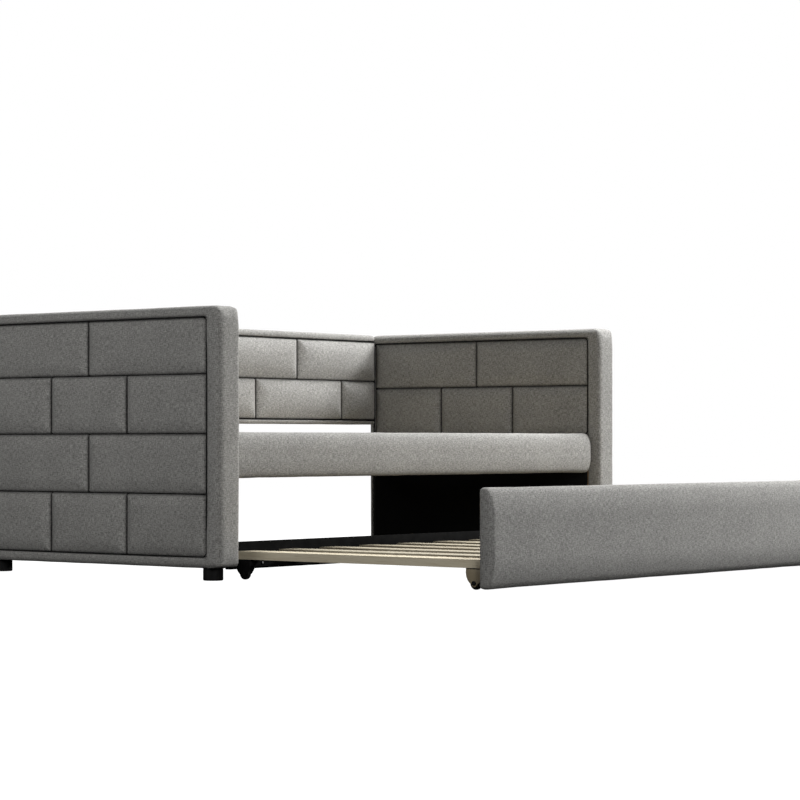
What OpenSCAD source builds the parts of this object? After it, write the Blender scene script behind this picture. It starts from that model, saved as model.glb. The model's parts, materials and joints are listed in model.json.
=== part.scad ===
// Upholstered daybed with a trundle that rolls out from under it on casters.
// Millimetres. X runs along the bed, Y from front to back, Z up. The origin is on the floor, under the
// middle of the bed and its pulled-out trundle.

/* [Overall] */
// Length of the bed over both arms
bed_length = 2160; // [2140:2:2200]
// Depth of each arm from front to back
bed_depth = 1086; // [1080:2:1120]
// Height of the arms and the back above the floor
bed_height = 838; // [830:1:850]
// Travel of the trundle from closed to where it stands
pull_out = 970; // [940:2:980]

/* [Arms] */
// Thickness of an arm
arm_thickness = 108; // [106:1:112]
// Radius of the padded edges of an arm
arm_round = 18; // [16:1:22]
// Thickness of the padding on each face
pad_thickness = 25; // [22:1:26]
// Thickness of the plywood face boards
face_board = 5; // [3:1:6]
// Width of the plain border at the front of an arm
border_front = 52; // [46:1:54]
// Width of the plain border at the back of an arm
border_rear = 24; // [22:1:30]
// Heights of the rows of bricks on an arm, from the bottom row up
arm_rows = [192, 185, 183, 175]; // [170:1:196]
// Height of the border below the lowest row
border_bottom = 32; // [28:1:34]
// How far the seams across a row stand back from an even division of the row
seam_setback = 13; // [0:1:20]
// Width of the seam between two bricks
brick_seam = 3; // [2:0.5:4]
// Radius of the edges of a brick
brick_round = 6; // [3:1:8]

/* [Back panel] */
// Thickness of the back panel
back_thickness = 38; // [38:1:44]
// Height of the back panel
back_height = 347; // [338:1:350]
// Thickness of the padding on its front
back_pad = 12; // [11:1:14]
// Radius of its padded top and bottom edges
back_round = 12; // [8:1:14]
// Length of a full brick on the back panel
back_brick = 495; // [480:1:510]
// Heights of its two rows of bricks, from the bottom row up
back_rows = [150, 153]; // [146:1:156]
// Height of the border below the lower row
back_border = 18; // [16:1:24]
// Distance of an upper seam from the middle of the bed
upper_seam = 12; // [0:1:16]
// Distance of a lower seam from the middle of the bed
lower_seam = -222; // [-240:1:-210]

/* [Bed rails and slats] */
// Height of the underside of the rails above the floor
rail_bottom = 310; // [306:1:316]
// Height of a rail
rail_height = 146; // [140:1:148]
// Thickness of a padded rail
rail_thickness = 50; // [46:1:54]
// How far the front rail stands back from the front of the arms
rail_setback = 28; // [24:1:32]
// Radius of the padded edges of a rail
rail_round = 16; // [10:1:20]
// Height of the slat deck above the floor
deck_height = 395; // [390:1:400]
// Number of slats under the mattress
slat_count = 13; // [11:1:14]
// Width of a slat
slat_width = 70; // [60:1:80]
// Thickness of a slat
slat_thickness = 15; // [12:1:18]

/* [Trundle] */
// Length of the padded front board
front_length = 1930; // [1910:1:1932]
// Height of the front board
front_height = 294; // [288:1:298]
// Gap between the front board and the floor
front_clearance = 1.5; // [1:0.5:10]
// Thickness of the front board
front_thickness = 53; // [48:1:56]
// Radius of its padded edges
front_round = 14; // [8:1:16]
// Clear depth between the front board and the rear board
trundle_depth = 946; // [940:1:950]
// Height of the slat deck of the trundle above the floor
trundle_deck = 87; // [85:1:92]
// Number of boards across the trundle, the two side rails included
board_count = 10; // [8:1:12]
// Width of a board
board_width = 88; // [80:1:96]
// Thickness of a board
board_thickness = 25; // [23:1:26]
// Thickness of the rear board
rear_board = 18; // [15:1:20]
// Height of the top of the rear board above the floor
rear_board_top = 115; // [110:1:120]
// Height of the underside of the rear board above the floor
rear_board_bottom = 31; // [29:1:36]

/* [Casters] */
// Radius of a wheel
wheel_radius = 19; // [18:0.5:20]
// Width of a wheel
wheel_width = 14; // [12:1:15]
// Radius of an axle
axle_radius = 3; // [2.5:0.5:4]
// Thickness of a fork cheek
cheek = 4; // [3:0.5:5]
// Length of a caster fork along Y
fork_length = 59; // [54:1:62]

/* [Feet and fasteners] */
// Height of a foot
foot_height = 39; // [36:1:45]
// Radius of a foot
foot_radius = 31; // [28:1:33]
// Distance of the front feet from the front of the arms
foot_front = 70; // [64:1:76]
// Distance of the rear feet from the back of the arms
foot_rear = 81; // [70:1:110]
// Radius of the bolts
bolt_radius = 4; // [3:0.5:4]
// Radius of the wood screws
screw_radius = 2; // [1.5:0.5:2.5]

/* [Hidden] */
$fn = 48;

left = -1;
right = 1;
fabric_grey = [0.42, 0.42, 0.41];
lining_black = [0.03, 0.03, 0.03];
pine = [0.78, 0.68, 0.5];
birch = [0.8, 0.75, 0.64];
plywood = [0.7, 0.58, 0.42];
zinc = [0.6, 0.6, 0.62];
plastic_black = [0.04, 0.04, 0.04];

play = 0.2;                 // glue line between two pieces that meet
drill_play = 0.1;           // clearance round a bolt or a screw
axle_play = 0.05;           // running clearance of a wheel on its axle
overrun = 5;                // how far a cut runs past a surface

// Arms, worked out for the left one
arm_front = -(bed_depth + rail_setback - pull_out) / 2;
arm_back = arm_front + bed_depth;
arm_out = -bed_length / 2;
arm_in = arm_out + arm_thickness;
arm_mid = (arm_out + arm_in) / 2;
field_front = arm_front + border_front;
field_back = arm_back - border_rear;
field_mid = (field_front + field_back) / 2;
function row_base(i) = i == 0 ? foot_height + border_bottom : row_base(i - 1) + arm_rows[i - 1];
row_total = 4;
field_bottom = row_base(0);
field_top = row_base(row_total);
inner_row = 2;              // the bricks inside an arm start at this row
inner_split = row_base(inner_row);
edge_pad = 14;              // padding over the edges of the frame
rear_pad = 9;               // padding behind the frame
base_pad = 8;               // padding under the frame
frame_front = arm_front + edge_pad;
frame_back = arm_back - rear_pad;
frame_bottom = foot_height + base_pad;
frame_top = bed_height - edge_pad;
frame_out = arm_out + pad_thickness + face_board;
frame_in = arm_in - pad_thickness - face_board;
stile = 60;                 // width of the uprights and rails of a frame
mid_rail_bottom = 316;
mid_rail_top = 416;
hem_bottom = 15;            // cloth turned over the lower inside of an arm at its bottom
lining_recess = 2.5;
lining_thickness = 2.5;
lining_face = arm_in - lining_recess;
board_face = lining_face - lining_thickness;
brick_sink = 2;             // how far the bricks lie below the border
back_brick_round = 4;       // edges of the thinner bricks of the back panel

// Back panel
back_front = arm_back - back_thickness;
back_bottom = bed_height - back_height;
back_field_bottom = back_bottom + back_border;
back_field_mid = back_field_bottom + back_rows[0];
back_field_top = back_field_mid + back_rows[1];
back_base_pad = 6;          // padding under its frame
back_frame_bottom = back_bottom + back_base_pad;
back_frame_top = bed_height - edge_pad;
back_board = 3;             // thickness of its face board
back_frame_front = back_front + back_pad + back_board;
back_cover = 6;             // the cloth-covered board behind its frame
back_frame_back = arm_back - back_cover;
back_member = 50;           // width of its rails and inner uprights
back_half = -arm_in - play; // half its length
back_end_pocket = 22;       // cloth left round its rear panel
back_bay_count = 4;
back_seam_reach = 3;        // bricks counted to each side of the first seam
short_brick = back_brick / 8;       // no seam this close to an end

// Rails and slat deck
rail_front = arm_front + rail_setback;
rail_back = rail_front + rail_thickness;
rear_rail_front = back_front;
rear_rail_back = arm_back;
rail_core = 30;             // thickness of the board inside the front rail
rear_core = 20;             // the same in the rear rail
rail_half = -arm_in - play;
rail_wrap = 17;             // cloth left round the back of a rail's board
ledger_depth = 30;
ledger_height = 35;
ledger_top = deck_height - slat_thickness;
ledger_end = 72;            // room for the corner brackets
ledger_half = -arm_in - ledger_end;
slat_gap = 2;               // from the end of a slat to a rail
slat_front = rail_back + slat_gap;
slat_back = rear_rail_front - slat_gap;
slat_pitch = (2 * ledger_half - slat_width) / (slat_count - 1);

// Corner brackets and bolts
bracket_leg = 60;
bracket_plate = 3;
bracket_bottom = 320;
bracket_top = 390;
bolt_heights = [338, 372];
bolt_inset = 38;            // from a rail's face to its bolts
bolt_head = 7;
bolt_head_height = 5.5;
rail_bolt_tip = 24;         // distance of a rail bolt's tip from the frame's inner face
back_bolt_heights = [560, 745];
back_bolt_radius = 3;
back_bolt_head = 5.5;
back_bolt_inset = 6;        // from the front of its frame to its bolts
back_bolt_y = back_frame_front + back_bolt_inset;
screw_head = 4;
screw_head_height = 2.5;
screw_sink = 3;             // depth of the counterbore of a screw in a slat
bracket_screw_length = 18;
ledger_screw_count = 4;
ledger_screw_pitch = 3 * slat_pitch;        // keeps them halfway between two slats

// Trundle, at rest pulled out
trundle_front = rail_front - pull_out;
front_back = trundle_front + front_thickness;
front_half = front_length / 2;
front_top = front_clearance + front_height;
front_core = 25;
front_wrap = 16;
rear_front = front_back + trundle_depth;
rear_back = rear_front + rear_board;
side_inset = 27;            // from the end of the front board to the side rail
side_half = front_half - side_inset;
board_pitch = (2 * side_half - board_width) / (board_count - 1);
board_bottom = trundle_deck - board_thickness;
board_end_gap = 2;
trundle_ledger = 25;
trundle_ledger_end = 36;    // from the face of a side rail to the end of a ledger
trundle_ledger_half = side_half - trundle_ledger_end;
trundle_ledger_bottom = board_bottom - trundle_ledger;
trundle_screw_length = 40;
trundle_ledger_screw_length = 42;
trundle_ledger_screw_count = 5;

// Casters, worked out for the front left one
plate_thickness = 3;
fork_top = board_bottom - plate_thickness;
axle_z = wheel_radius;
side_play = 1;              // gap between a wheel and a cheek
fork_width = 2 * cheek + wheel_width + 2 * side_play;
fork_out = -side_half;
fork_in = fork_out + fork_width;
wheel_x = (fork_out + fork_in) / 2;
fork_front = front_back + play;
fork_back = fork_front + fork_length;
fork_middle = (fork_front + fork_back) / 2;
fork_tip = 11;              // radius of the fork round the axle
fork_lip = 9;               // height of its widest part
fork_drop = 35;             // height over which it narrows
crown_gap = 4;              // between a wheel and the top of its fork
crown_bottom = axle_z + wheel_radius + crown_gap;
cap_radius = 7;
cap_height = 3;
rear_shift = [0, rear_front - play - fork_back, 0];
wheel_dish = 3;
wheel_hub = 8;
wheel_rim = 14;

// Foot
foot_ys = [arm_front + foot_front, arm_back - foot_rear];
foot_round = 4;
foot_stud_bottom = 14;
foot_stud_grip = 40;        // how far a stud reaches into the frame
foot_stud_top = frame_bottom + foot_stud_grip;

// Box between two opposite corners
module block(low, high) {
    translate(low) cube(high - low);
}

// Rectangle with round corners, from its lower left corner
module round_rect(size, r) {
    translate([r, 0]) square([size.x - 2 * r, size.y]);
    translate([0, r]) square([size.x, size.y - 2 * r]);
    for (x = [r, size.x - r], y = [r, size.y - r])
        translate([x, y]) circle(r);
}

// Box between two corners with all its edges rounded
module soft_block(low, high, r) {
    size = high - low;
    translate(low) intersection() {
        linear_extrude(size.z) round_rect([size.x, size.y], r);
        translate([0, size.y, 0]) rotate([90, 0, 0]) linear_extrude(size.y) round_rect([size.x, size.z], r);
        rotate([90, 0, 90]) linear_extrude(size.x) round_rect([size.y, size.z], r);
    }
}

// Round bar along X, Y or Z from a point
module bar_x(start, length, r) {
    translate(start) rotate([0, 90, 0]) cylinder(h = length, r = r);
}
module bar_y(start, length, r) {
    translate(start) rotate([-90, 0, 0]) cylinder(h = length, r = r);
}
module bar_z(start, length, r) {
    translate(start) cylinder(h = length, r = r);
}

// The left shape as it is, or mirrored to the right
module on_side(side) {
    if (side == left) children();
    else mirror([1, 0, 0]) children();
}
module both_sides() {
    children();
    mirror([1, 0, 0]) children();
}

// Bores for the bolts that hold the rails and the back panel, through whatever lies at the arm
module arm_bolt_bores() {
    length = arm_in - frame_in + rail_bolt_tip + overrun;
    for (y = [rail_back + bolt_inset, rear_rail_front - bolt_inset], z = bolt_heights)
        bar_x([frame_in - rail_bolt_tip, y, z], length, bolt_radius + drill_play);
    for (z = back_bolt_heights)
        bar_x([frame_in - rail_bolt_tip, back_bolt_y, z], length, back_bolt_radius + drill_play);
}

// Bores for the studs of the feet
module stud_bores(r) {
    for (y = foot_ys)
        bar_z([arm_mid, y, foot_stud_bottom], foot_stud_top - foot_stud_bottom + overrun, r);
}

module arm_frame(side) {
    color(pine) on_side(side) difference() {
        union() {
            block([frame_out, frame_front, frame_bottom], [frame_in, frame_back, frame_bottom + stile]);
            block([frame_out, frame_front, frame_top - stile], [frame_in, frame_back, frame_top]);
            for (y = [frame_front, frame_back - stile])
                block([frame_out, y, frame_bottom + stile + play],
                      [frame_in, y + stile, frame_top - stile - play]);
            block([frame_out, frame_front + stile + play, mid_rail_bottom],
                  [frame_in, frame_back - stile - play, mid_rail_top]);
            for (z = [[frame_bottom + stile, mid_rail_bottom], [mid_rail_top, frame_top - stile]])
                block([frame_out, field_mid - stile / 2, z[0] + play],
                      [frame_in, field_mid + stile / 2, z[1] - play]);
        }
        arm_bolt_bores();
        stud_bores(bolt_radius + drill_play);
    }
}

module arm_face_boards(side) {
    color(plywood) on_side(side) {
        block([frame_out - face_board, frame_front, frame_bottom],
              [frame_out - play, frame_back, frame_top]);
        difference() {
            block([frame_in + play, frame_front, inner_split],
                  [frame_in + face_board, frame_back, frame_top]);
            arm_bolt_bores();
        }
    }
}

// Thick board inside the lower half of an arm, which takes the bolts of the rails
module arm_mounting_board(side) {
    color(plywood) on_side(side) difference() {
        block([frame_in + play, field_front + play, foot_height + hem_bottom],
              [board_face - play, field_back, inner_split - play]);
        arm_bolt_bores();
    }
}

// Padded strips round the edge of an arm, with pockets for the frame, the bricks and the lining
module arm_border(side) {
    color(fabric_grey) on_side(side) difference() {
        soft_block([arm_out, arm_front, foot_height], [arm_in, arm_back, bed_height], arm_round);
        block([frame_out - face_board - play, frame_front - play, frame_bottom - play],
              [frame_in + face_board + play, frame_back + play, frame_top + play]);
        block([arm_out - overrun, field_front, field_bottom], [frame_out, field_back, field_top]);
        block([frame_in, field_front, inner_split], [arm_in + overrun, field_back, field_top]);
        block([frame_in - overrun, field_front, foot_height + hem_bottom - play],
              [arm_in + overrun, field_back + play, inner_split + play]);
        for (y = [field_front, field_back])
            block([arm_out - overrun, y - play, foot_height - overrun],
                  [arm_in + overrun, y + play, bed_height + overrun]);
        arm_bolt_bores();
        stud_bores(bolt_radius + drill_play);
    }
}

// Ends of the bricks in a row along Y: rows of three and of two bricks take turns
function brick_ends(row) = let (count = 3 - row % 2, step = (field_back - field_front) / count)
    [for (i = [0:count]) field_front + step * i + (i > 0 && i < count ? seam_setback : 0)];

// Rows of padded bricks between two X planes
module bricks(first_row, low_x, high_x) {
    gap = brick_seam / 2;
    for (row = [first_row:row_total - 1]) {
        ends = brick_ends(row);
        for (i = [0:len(ends) - 2])
            soft_block([low_x, ends[i] + gap, row_base(row) + gap],
                       [high_x, ends[i + 1] - gap, row_base(row + 1) - gap], brick_round);
    }
}

module arm_outer_bricks(side) {
    color(fabric_grey) on_side(side)
        bricks(0, arm_out + brick_sink, arm_out + pad_thickness - play);
}

module arm_inner_bricks(side) {
    color(fabric_grey) on_side(side)
        bricks(inner_row, arm_in - pad_thickness + play, arm_in - brick_sink);
}

module arm_lining(side) {
    color(lining_black) on_side(side) difference() {
        block([board_face, field_front + play, foot_height + hem_bottom],
              [lining_face, field_back, inner_split - play]);
        arm_bolt_bores();
    }
}

module back_frame() {
    bay = (2 * back_half - back_member) / back_bay_count;
    color(pine) difference() {
        union() {
            for (z = [back_frame_bottom, back_frame_top - back_member])
                block([-back_half, back_frame_front, z], [back_half, back_frame_back, z + back_member]);
            for (i = [0:back_bay_count])
                block([-back_half + i * bay, back_frame_front, back_frame_bottom + back_member + play],
                      [-back_half + i * bay + back_member, back_frame_back,
                       back_frame_top - back_member - play]);
        }
        both_sides() for (z = back_bolt_heights)
            bar_x([arm_in - overrun, back_bolt_y, z], back_member + 2 * overrun,
                  back_bolt_radius + drill_play);
    }
}

module back_face_board() {
    color(plywood)
        block([-back_half, back_front + back_pad, back_frame_bottom],
              [back_half, back_frame_front - play, back_frame_top]);
}

// Padded strips along the top and the bottom of the back panel
module back_border() {
    color(fabric_grey) difference() {
        translate([-back_half, back_front, back_bottom]) rotate([90, 0, 90])
            linear_extrude(2 * back_half) round_rect([back_thickness, back_height], back_round);
        block([-back_half - overrun, back_front + back_pad - play, back_frame_bottom - play],
              [back_half + overrun, back_frame_back + play, back_frame_top + play]);
        block([-back_half - overrun, back_front - overrun, back_field_bottom],
              [back_half + overrun, back_front + back_pad, back_field_top]);
        block([-back_half - overrun, back_frame_back, back_bottom + back_end_pocket],
              [back_half + overrun, arm_back + overrun, bed_height - back_end_pocket]);
    }
}

// Ends of the bricks in a row of the back panel, cut off by the arms at both ends
function back_seams(seam) = concat([-back_half],
    [for (i = [-back_seam_reach:back_seam_reach]) if (abs(seam + i * back_brick) < back_half - short_brick)
        seam + i * back_brick],
    [back_half]);

module back_bricks() {
    gap = brick_seam / 2;
    rows = [[lower_seam, back_field_bottom, back_field_mid], [upper_seam, back_field_mid, back_field_top]];
    color(fabric_grey) for (row = rows) {
        ends = back_seams(row[0]);
        for (i = [0:len(ends) - 2])
            soft_block([ends[i] + gap, back_front + brick_sink, row[1] + gap],
                       [ends[i + 1] - gap, back_front + back_pad - play, row[2] - gap],
                       back_brick_round);
    }
}

// Cloth-covered board that closes the rear of the back panel
module back_rear_panel() {
    color(fabric_grey)
        block([-back_half, back_frame_back + play, back_bottom + back_end_pocket + play],
              [back_half, arm_back - play, bed_height - back_end_pocket - play]);
}

// Board inside a padded rail, flush with the rail's plain face
module rail_board(face_y, plain_y) {
    block([-rail_half + rail_wrap, min(face_y, plain_y), rail_bottom + rail_wrap],
          [rail_half - rail_wrap, max(face_y, plain_y), rail_bottom + rail_height - rail_wrap]);
}

module rail_screw_bores(plain_y, into) {
    start = into > 0 ? plain_y - overrun : plain_y - bracket_screw_length;
    both_sides() for (z = bolt_heights)
        bar_y([arm_in + bolt_inset, start, z], bracket_screw_length + overrun, screw_radius + drill_play);
    for (x = ledger_screw_xs())
        bar_y([x, start, ledger_top - ledger_height / 2], bracket_screw_length + overrun,
              screw_radius + drill_play);
}

function ledger_screw_xs() =
    [for (i = [0:ledger_screw_count - 1]) (i - (ledger_screw_count - 1) / 2) * ledger_screw_pitch];

module front_rail_core() {
    color(pine) difference() {
        rail_board(rail_back - rail_core, rail_back);
        rail_screw_bores(rail_back, -1);
    }
}

module rear_rail_core() {
    color(pine) difference() {
        rail_board(rear_rail_front, rear_rail_front + rear_core);
        rail_screw_bores(rear_rail_front, 1);
    }
}

// Padded cover of a rail, open at its plain face where the board shows
module front_rail_cover() {
    color(fabric_grey) difference() {
        soft_block([-rail_half, rail_front, rail_bottom],
                   [rail_half, rail_back, rail_bottom + rail_height], rail_round);
        block([-rail_half + rail_wrap - play, rail_back - rail_core - play, rail_bottom + rail_wrap - play],
              [rail_half - rail_wrap + play, rail_back + overrun,
               rail_bottom + rail_height - rail_wrap + play]);
    }
}

module rear_rail_cover() {
    color(fabric_grey) difference() {
        soft_block([-rail_half, rear_rail_front, rail_bottom],
                   [rail_half, rear_rail_back, rail_bottom + rail_height], rail_round);
        block([-rail_half + rail_wrap - play, rear_rail_front - overrun, rail_bottom + rail_wrap - play],
              [rail_half - rail_wrap + play, rear_rail_front + rear_core + play,
               rail_bottom + rail_height - rail_wrap + play]);
    }
}

function slat_middle(i) = -ledger_half + slat_width / 2 + i * slat_pitch;

module bed_ledger(low_y) {
    color(pine) difference() {
        block([-ledger_half, low_y, ledger_top - ledger_height],
              [ledger_half, low_y + ledger_depth, ledger_top]);
        for (i = [0:slat_count - 1])
            bar_z([slat_middle(i), low_y + ledger_depth / 2, ledger_top - ledger_height / 2],
                  ledger_height, screw_radius + drill_play);
        for (x = ledger_screw_xs())
            bar_y([x, low_y - overrun, ledger_top - ledger_height / 2], ledger_depth + 2 * overrun,
                  screw_radius + drill_play);
    }
}

module front_ledger() {
    bed_ledger(rail_back + play);
}

module rear_ledger() {
    bed_ledger(rear_rail_front - ledger_depth - play);
}

// Slats from the front ledger to the rear one
module bed_slats() {
    color(birch) for (i = [0:slat_count - 1]) difference() {
        block([slat_middle(i) - slat_width / 2, slat_front, ledger_top + play],
              [slat_middle(i) + slat_width / 2, slat_back, deck_height]);
        for (y = slat_screw_ys())
            screw_hole([slat_middle(i), y, deck_height], slat_thickness + overrun);
    }
}

function slat_screw_ys() = [rail_back + play + ledger_depth / 2, rear_rail_front - play - ledger_depth / 2];

// Wood screw along Z, its head sunk below a point
module screw_down(top, length) {
    bar_z(top - [0, 0, length], length - screw_sink, screw_radius);
    bar_z(top - [0, 0, screw_sink], screw_head_height, screw_head);
}

// Hole and counterbore for such a screw
module screw_hole(top, depth) {
    bar_z(top - [0, 0, depth], depth, screw_radius + drill_play);
    bar_z(top - [0, 0, screw_sink], screw_sink + overrun, screw_head + drill_play);
}

module bed_slat_screws() {
    color(zinc) for (i = [0:slat_count - 1], y = slat_screw_ys())
        screw_down([slat_middle(i), y, deck_height], slat_thickness + ledger_height / 2 - play);
}

// Screws along Y that hold the ledgers to the rails, heads on the ledgers
module ledger_screws() {
    length = ledger_depth + bracket_screw_length - play;
    z = ledger_top - ledger_height / 2;
    color(zinc) for (x = ledger_screw_xs()) {
        bar_y([x, rail_back + play + ledger_depth - length, z], length, screw_radius);
        bar_y([x, rail_back + play + ledger_depth, z], screw_head_height, screw_head);
        bar_y([x, rear_rail_front - play - ledger_depth, z], length, screw_radius);
        bar_y([x, rear_rail_front - play - ledger_depth - screw_head_height, z], screw_head_height,
              screw_head);
    }
}

// Steel angle in the corner between a rail and an arm
module corner_bracket(face_y, out) {
    low = min(face_y + out * play, face_y + out * (bracket_plate + play));
    leg_low = min(face_y + out * play, face_y + out * bracket_leg);
    difference() {
        union() {
            block([lining_face + play, low, bracket_bottom],
                  [arm_in + bracket_leg, low + bracket_plate, bracket_top]);
            block([lining_face + play, leg_low, bracket_bottom],
                  [lining_face + play + bracket_plate, leg_low + bracket_leg - play, bracket_top]);
        }
        for (z = bolt_heights) {
            bar_x([lining_face - overrun, face_y + out * bolt_inset, z], bracket_plate + 2 * overrun,
                  bolt_radius + drill_play);
            bar_y([arm_in + bolt_inset, face_y - overrun - bracket_plate, z],
                  2 * bracket_plate + 2 * overrun, screw_radius + drill_play);
        }
    }
}

module rail_brackets() {
    color(zinc) both_sides() {
        corner_bracket(rail_back, 1);
        corner_bracket(rear_rail_front, -1);
    }
}

module rail_bolts() {
    seat = lining_face + play + bracket_plate;
    tip = frame_in - rail_bolt_tip;
    color(zinc) both_sides()
        for (y = [rail_back + bolt_inset, rear_rail_front - bolt_inset], z = bolt_heights) {
            bar_x([tip, y, z], seat - tip, bolt_radius);
            bar_x([seat, y, z], bolt_head_height, bolt_head);
        }
}

module bracket_screws() {
    reach = bracket_screw_length + bracket_plate;
    color(zinc) both_sides() for (z = bolt_heights) {
        bar_y([arm_in + bolt_inset, rail_back + play + bracket_plate - reach, z], reach, screw_radius);
        bar_y([arm_in + bolt_inset, rail_back + play + bracket_plate, z], screw_head_height, screw_head);
        bar_y([arm_in + bolt_inset, rear_rail_front - play - bracket_plate, z], reach, screw_radius);
        bar_y([arm_in + bolt_inset, rear_rail_front - play - bracket_plate - screw_head_height, z],
              screw_head_height, screw_head);
    }
}

// Bolts from the end uprights of the back panel into the arms
module back_panel_bolts() {
    seat = -back_half + back_member;
    tip = frame_in - rail_bolt_tip;
    color(zinc) both_sides() for (z = back_bolt_heights) {
        bar_x([tip, back_bolt_y, z], seat - tip, back_bolt_radius);
        bar_x([seat, back_bolt_y, z], bolt_head_height, back_bolt_head);
    }
}

// Round foot with an eased lower edge and a hole for its stud
module feet() {
    color(plastic_black) both_sides() for (y = foot_ys) translate([arm_mid, y, 0]) rotate_extrude()
        difference() {
            union() {
                square([foot_radius - foot_round, foot_height - play]);
                translate([0, foot_round]) square([foot_radius, foot_height - play - foot_round]);
                translate([foot_radius - foot_round, foot_round]) circle(foot_round);
            }
            translate([-foot_radius, 0]) square([foot_radius, foot_height]);
            translate([0, foot_stud_bottom]) square([bolt_radius + drill_play, foot_height]);
        }
}

module foot_studs() {
    color(zinc) both_sides() for (y = foot_ys)
        bar_z([arm_mid, y, foot_stud_bottom], foot_stud_top - foot_stud_bottom, bolt_radius);
}

function trundle_ledger_screw_xs() =
    [for (i = [0:trundle_ledger_screw_count - 1])
        (i / (trundle_ledger_screw_count - 1) - 0.5) * 2 * (trundle_ledger_half - stile)];

trundle_ledger_screw_z = trundle_ledger_bottom + trundle_ledger / 2;

module trundle_front_core() {
    color(pine) difference() {
        block([-front_half + front_wrap, front_back - front_core, front_clearance + front_wrap],
              [front_half - front_wrap, front_back, front_top - front_wrap]);
        for (x = trundle_ledger_screw_xs())
            bar_y([x, front_back + trundle_ledger - trundle_ledger_screw_length, trundle_ledger_screw_z],
                  front_core, screw_radius + drill_play);
    }
}

module trundle_front_cover() {
    color(fabric_grey) difference() {
        soft_block([-front_half, trundle_front, front_clearance], [front_half, front_back, front_top],
                   front_round);
        block([-front_half + front_wrap - play, front_back - front_core - play,
               front_clearance + front_wrap - play],
              [front_half - front_wrap + play, front_back + overrun, front_top - front_wrap + play]);
    }
}

module trundle_rear_board() {
    color(lining_black) difference() {
        block([-front_half, rear_front, rear_board_bottom], [front_half, rear_back, rear_board_top]);
        for (x = trundle_ledger_screw_xs())
            bar_y([x, rear_front - overrun, trundle_ledger_screw_z], rear_board + overrun - play,
                  screw_radius + drill_play);
    }
}

function board_middle(i) = -side_half + board_width / 2 + i * board_pitch;
function board_screw_ys() =
    [front_back + play + trundle_ledger / 2, rear_front - play - trundle_ledger / 2];

// Board from the front of the trundle to its rear, on the two ledgers
module trundle_board(i) {
    color(birch) difference() {
        block([board_middle(i) - board_width / 2, front_back + board_end_gap, board_bottom + play],
              [board_middle(i) + board_width / 2, rear_front - board_end_gap, trundle_deck]);
        for (y = board_screw_ys())
            screw_hole([board_middle(i), y, trundle_deck], board_thickness + overrun);
    }
}

module trundle_slats() {
    for (i = [1:board_count - 2]) trundle_board(i);
}

module trundle_ledger_strip(low_y) {
    difference() {
        block([-trundle_ledger_half, low_y, trundle_ledger_bottom],
              [trundle_ledger_half, low_y + trundle_ledger, board_bottom]);
        for (i = [0:board_count - 1])
            bar_z([board_middle(i), low_y + trundle_ledger / 2, trundle_deck - trundle_screw_length],
                  trundle_screw_length, screw_radius + drill_play);
        for (x = trundle_ledger_screw_xs())
            bar_y([x, low_y - overrun, trundle_ledger_screw_z], trundle_ledger + 2 * overrun,
                  screw_radius + drill_play);
    }
}

module trundle_front_ledger() {
    color(birch) trundle_ledger_strip(front_back + play);
}

module trundle_rear_ledger() {
    color(lining_black) trundle_ledger_strip(rear_front - trundle_ledger - play);
}

module trundle_slat_screws() {
    color(zinc) for (i = [0:board_count - 1], y = board_screw_ys())
        screw_down([board_middle(i), y, trundle_deck], trundle_screw_length - play);
}

module trundle_ledger_screws() {
    front_seat = front_back + play + trundle_ledger;
    rear_seat = rear_front - play - trundle_ledger;
    front_length_in = trundle_ledger_screw_length - 2 * play;
    rear_length_in = trundle_ledger + rear_board - 2 * board_end_gap;
    color(zinc) for (x = trundle_ledger_screw_xs()) {
        bar_y([x, front_seat - front_length_in, trundle_ledger_screw_z], front_length_in, screw_radius);
        bar_y([x, front_seat, trundle_ledger_screw_z], screw_head_height, screw_head);
        bar_y([x, rear_seat, trundle_ledger_screw_z], rear_length_in, screw_radius);
        bar_y([x, rear_seat - screw_head_height, trundle_ledger_screw_z], screw_head_height, screw_head);
    }
}

// The front left shape at every caster, under the ends of both side rails
module at_casters() {
    both_sides() {
        children();
        translate(rear_shift) children();
    }
}

module caster_plates() {
    color(plastic_black) at_casters()
        block([fork_out + play, fork_front, fork_top + play],
              [fork_in, fork_back, board_bottom - play]);
}

// Outline of a fork cheek: a lip under the plate that narrows in a curve to the axle
module cheek_outline() {
    half = fork_length / 2;
    lip_base = fork_top - axle_z - fork_lip;
    narrowing = half - fork_tip;
    curve = (fork_drop * fork_drop + narrowing * narrowing) / (2 * narrowing);
    translate([fork_middle, axle_z]) {
        translate([-half, lip_base]) square([fork_length, fork_lip]);
        intersection() {
            translate([curve - half, lip_base]) circle(curve);
            translate([half - curve, lip_base]) circle(curve);
            translate([-half, lip_base - fork_drop]) square([fork_length, fork_drop]);
        }
        circle(fork_tip);
    }
}

// Forks that straddle the wheels
module caster_forks() {
    color(birch) at_casters() difference() {
        translate([fork_out, 0, 0]) rotate([90, 0, 90]) linear_extrude(fork_width) cheek_outline();
        block([fork_out + cheek, fork_front - overrun, -overrun], [fork_in - cheek, fork_back + overrun,
              crown_bottom]);
        bar_x([fork_out - overrun, fork_middle, axle_z], fork_width + 2 * overrun,
              axle_radius + drill_play);
    }
}

module caster_axles() {
    color(plastic_black) at_casters() {
        bar_x([fork_out - cap_height, fork_middle, axle_z], fork_width + 2 * cap_height, axle_radius);
        for (x = [fork_out - cap_height, fork_in])
            bar_x([x, fork_middle, axle_z], cap_height, cap_radius);
    }
}

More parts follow.
